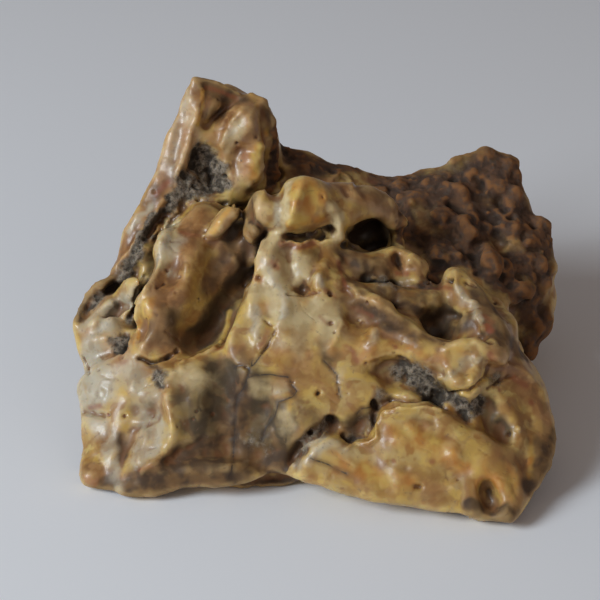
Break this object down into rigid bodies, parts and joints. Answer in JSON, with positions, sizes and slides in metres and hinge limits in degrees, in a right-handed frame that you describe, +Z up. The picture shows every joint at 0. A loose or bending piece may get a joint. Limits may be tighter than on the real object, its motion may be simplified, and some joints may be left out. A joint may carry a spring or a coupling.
{
  "type": "desert quartz stone",
  "caption": "Wind-worn yellow-brown quartz stone with a tall corner, ridges, ledges and pits, resting on a worn flat underside.",
  "frame": {"origin": "under the middle of the stone's box, on the plane of its worn flat underside", "axes": "+Z up from the underside, +Y from the display face towards the back, +X to the right of the display face"},
  "size_m": [0.1268, 0.1142, 0.0786],
  "materials": {
    "desert_quartz": "waxy, wind-polished silica skin on the high places, dull grey and brown porous matrix in the hollows"
  },
  "bodies": {
    "root": {"stone": "desert_quartz"}
  },
  "joints": []
}
